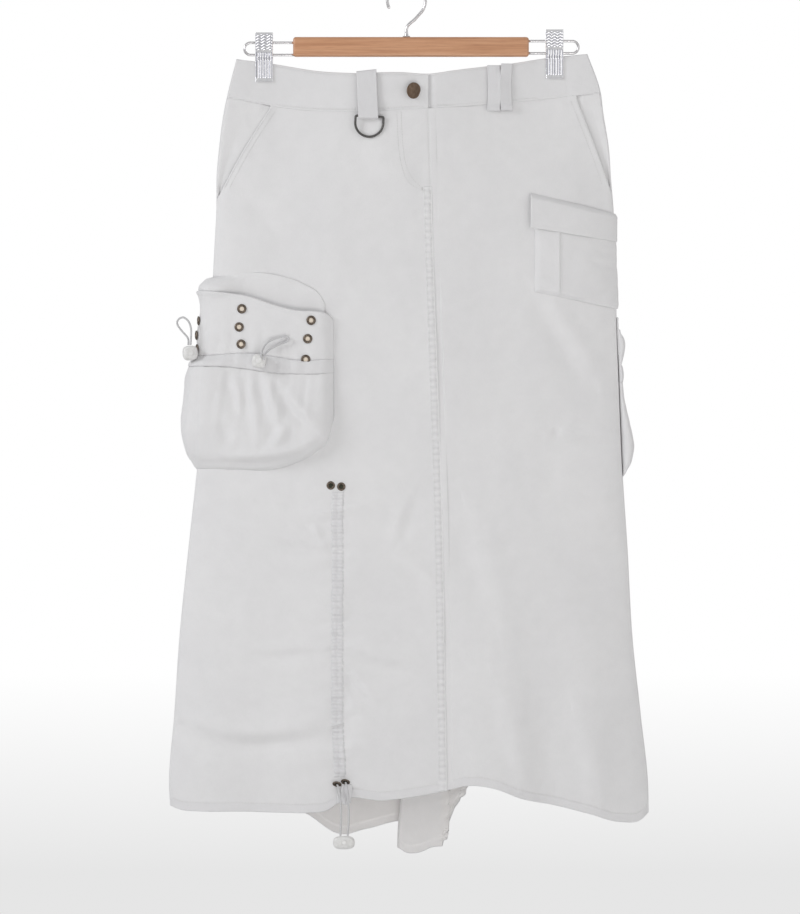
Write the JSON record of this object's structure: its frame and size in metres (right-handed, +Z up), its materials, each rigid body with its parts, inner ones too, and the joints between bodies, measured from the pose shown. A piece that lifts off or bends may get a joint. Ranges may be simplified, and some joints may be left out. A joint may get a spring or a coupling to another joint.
{
  "type": "skirt on hanger",
  "caption": "Long straight cargo skirt with drawstring pouch pockets, a flap pocket and a ruching cord, hung flat by its waistband from a wooden clip hanger.",
  "frame": {"origin": "inside top of the hanger's hook, at the middle of its wire's thickness, where it rests on a rail", "axes": "+Z up; the skirt's front faces -Y; +X toward the wearer's left side"},
  "size_m": [0.5463, 0.103, 0.9969],
  "materials": {
    "twill": "matte off-white cotton twill denim",
    "cord": "matte white braided cord",
    "toggle": "milky translucent",
    "eyelet_metal": "antique dark",
    "ring_metal": "dark gunmetal",
    "button_metal": "antique bronze",
    "wood": "lacquered reddish brown",
    "steel": "polished wire",
    "chrome": "bright"
  },
  "bodies": {
    "skirt": {"back_panel": "twill", "back_pocket_backing": "twill", "back_pocket_bag": "twill", "back_pocket_casing": "twill", "back_pocket_cord_inner": "cord", "back_pocket_cord_outer": "cord", "back_pocket_eyelet_1": "eyelet_metal", "back_pocket_eyelet_2": "eyelet_metal", "back_pocket_eyelet_3": "eyelet_metal", "back_pocket_toggle_inner": "toggle", "back_pocket_toggle_outer": "toggle", "back_pocket_yoke": "twill", "belt_loop_back": "twill", "belt_loop_front_left_inner": "twill", "belt_loop_front_left_outer": "twill", "belt_loop_front_right": "twill", "channel_eyelet_1": "eyelet_metal", "channel_eyelet_2": "eyelet_metal", "channel_eyelet_3": "eyelet_metal", "channel_eyelet_4": "eyelet_metal", "flap_pocket_body": "twill", "flap_pocket_flap": "twill", "front_left_panel": "twill", "front_right_panel": "twill", "hanger_bar": "wood", "hanger_clip_left": "chrome", "hanger_clip_right": "chrome", "hanger_hook": "steel", "hanger_wire_left": "steel", "hanger_wire_right": "steel", "hem_cord_1": "cord", "hem_cord_2": "cord", "hem_toggle": "toggle", "hip_piece_left": "twill", "hip_piece_right": "twill", "ruching_channel": "twill", "side_pocket_backing": "twill", "side_pocket_bag": "twill", "side_pocket_casing": "twill", "side_pocket_cord_front": "cord", "side_pocket_cord_side": "cord", "side_pocket_eyelet_front_1": "eyelet_metal", "side_pocket_eyelet_front_2": "eyelet_metal", "side_pocket_eyelet_front_3": "eyelet_metal", "side_pocket_eyelet_middle_1": "eyelet_metal", "side_pocket_eyelet_middle_2": "eyelet_metal", "side_pocket_eyelet_middle_3": "eyelet_metal", "side_pocket_eyelet_side_1": "eyelet_metal", "side_pocket_eyelet_side_2": "eyelet_metal", "side_pocket_eyelet_side_3": "eyelet_metal", "side_pocket_toggle_front": "toggle", "side_pocket_toggle_side": "toggle", "side_pocket_yoke": "twill", "waist_button": "button_metal", "waistband_back": "twill", "waistband_front_left": "twill", "waistband_front_right": "twill"},
    "d_ring": {"d_ring": "ring_metal"}
  },
  "joints": [
    {"name": "d_ring_hinge", "type": "hinge", "parent": "skirt", "child": "d_ring", "pos_m": [-0.042, -0.01769, -0.1534], "axis": [-1, 0, 0], "range_deg": [0, 150]}
  ]
}
